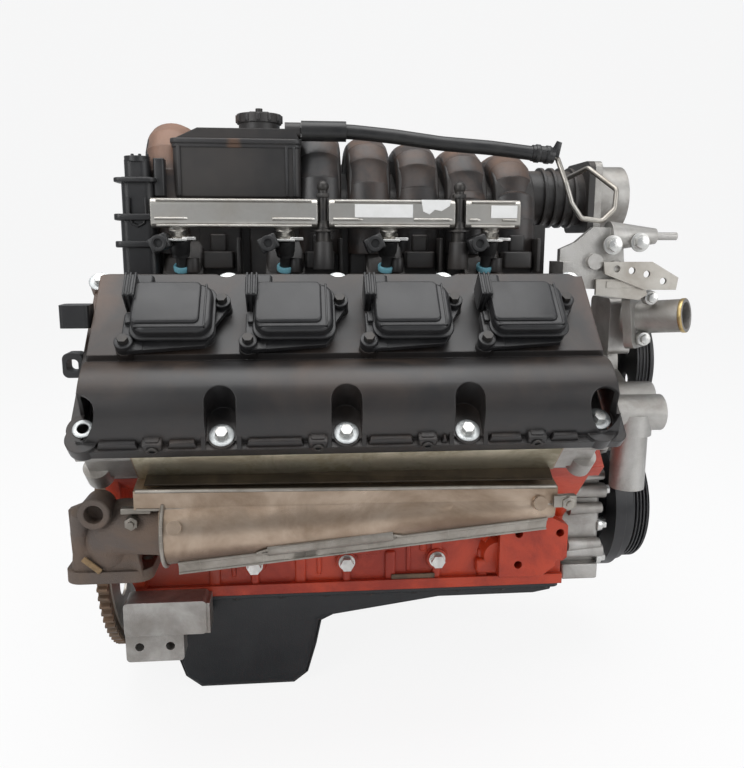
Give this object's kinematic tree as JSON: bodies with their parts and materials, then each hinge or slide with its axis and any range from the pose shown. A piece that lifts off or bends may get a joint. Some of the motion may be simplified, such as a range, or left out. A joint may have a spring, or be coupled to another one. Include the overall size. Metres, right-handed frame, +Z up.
{
  "type": "pushrod v8 engine",
  "caption": "Ninety degree V engine with pushrod valve gear, curved intake runners, rail fuel injection, coil ignition, shielded exhaust manifolds and a black sump",
  "frame": {"origin": "crankshaft axis at the rear face of the block, midway between the two bellhousing dowels", "axes": "+X forward along the crankshaft, +Y to the engine's left, +Z up"},
  "size_m": [0.6983, 0.6548, 0.711],
  "materials": {
    "block_paint": "orange-red engine paint on cast iron",
    "cast_iron": "as cast",
    "bolt_steel": "zinc plated",
    "pan_black": "satin black paint",
    "plated_steel": "plated sheet",
    "cast_aluminium": "as cast",
    "filter_paint": "satin black paint",
    "ground_steel": "ground",
    "forged_steel": "forged, journals ground",
    "damper_black": "satin black paint",
    "gear_steel": "machined, light rust",
    "gasket_steel": "layered steel",
    "cover_plastic": "moulded, dusty",
    "coil_plastic": "moulded",
    "dark_steel": "black oxide",
    "plug_ceramic": "plated shell",
    "intake_plastic": "glass filled, moulded",
    "hose_rubber": "smooth",
    "brass_plate": "machined",
    "rail_steel": "stamped, plated",
    "injector_body": "moulded body in a steel cup",
    "shield_steel": "heat tinted stainless sheet"
  },
  "bodies": {
    "engine": {"engine_block": "block_paint", "main_bearing_caps": "cast_iron", "main_bolts": "bolt_steel", "oil_pan": "pan_black", "windage_tray": "plated_steel", "oil_pickup": "plated_steel", "oil_pump": "cast_aluminium", "oil_filter": "filter_paint", "rear_seal_cover": "cast_aluminium", "valley_cover": "plated_steel", "transmission_brace": "cast_aluminium", "pistons": "cast_aluminium", "wrist_pins": "ground_steel", "connecting_rods": "forged_steel", "timing_chain": "forged_steel", "lifters": "ground_steel", "pushrods": "ground_steel", "rocker_arms": "ground_steel", "rocker_shafts": "ground_steel", "valves": "ground_steel", "valve_springs": "ground_steel", "right_cylinder_head": "cast_aluminium", "left_cylinder_head": "cast_aluminium", "head_gaskets": "gasket_steel", "right_valve_cover": "cover_plastic", "left_valve_cover": "cover_plastic", "valve_cover_bolts": "bolt_steel", "ignition_coils": "coil_plastic", "coil_bolts": "dark_steel", "spark_plugs": "plug_ceramic", "intake_manifold": "intake_plastic", "vent_chamber": "intake_plastic", "vent_chamber_lid": "intake_plastic", "vent_hose": "hose_rubber", "vapour_tube": "plated_steel", "runner_valve_actuator": "coil_plastic", "throttle_body": "cast_aluminium", "fuel_rails": "rail_steel", "fuel_injectors": "injector_body", "rail_studs": "dark_steel", "timing_cover": "cast_aluminium", "water_pump": "cast_aluminium", "coolant_inlet_neck": "cast_aluminium", "thermostat_housing": "cast_aluminium", "accessory_bracket": "cast_aluminium", "lifting_plate": "plated_steel", "engine_sensors": "coil_plastic", "right_exhaust_manifold": "cast_iron", "left_exhaust_manifold": "cast_iron", "heat_shields": "shield_steel"},
    "crank": {"crankshaft": "forged_steel", "crank_damper": "damper_black", "flexplate": "plated_steel", "ring_gear": "gear_steel", "crank_sprocket": "forged_steel"},
    "cam": {"camshaft": "forged_steel", "cam_sprocket": "forged_steel"},
    "pump_rotor": {"water_pump_pulley": "damper_black"},
    "throttle": {"throttle_blade": "brass_plate"},
    "filler_cap": {"oil_filler_cap": "cover_plastic"}
  },
  "joints": [
    {"name": "crank_spin", "type": "hinge", "parent": "engine", "child": "crank", "pos_m": [0, 0, 0], "axis": [1, 0, 0], "continuous": true, "deforming": ["timing_chain", "pistons", "wrist_pins", "connecting_rods"]},
    {"name": "cam_spin", "type": "hinge", "parent": "engine", "child": "cam", "pos_m": [0, 0, 0.16], "axis": [1, 0, 0], "continuous": true},
    {"name": "water_pump_spin", "type": "hinge", "parent": "engine", "child": "pump_rotor", "pos_m": [0.64, 0, 0.195], "axis": [1, 0, 0], "continuous": true},
    {"name": "throttle_turn", "type": "hinge", "parent": "engine", "child": "throttle", "pos_m": [0.596, 0, 0.408], "axis": [0, 1, 0], "range_deg": [0, 83], "stiffness_Nm_per_rad": 0.02},
    {"name": "oil_filler_twist", "type": "hinge", "parent": "engine", "child": "filler_cap", "pos_m": [0.5, 0.2245, 0.3178], "axis": [0, 0.7071, 0.7071], "range_deg": [0, 90]}
  ],
  "couplings": [
    {"joint": "cam_spin", "follows": "crank_spin", "ratio": 0.5}
  ]
}
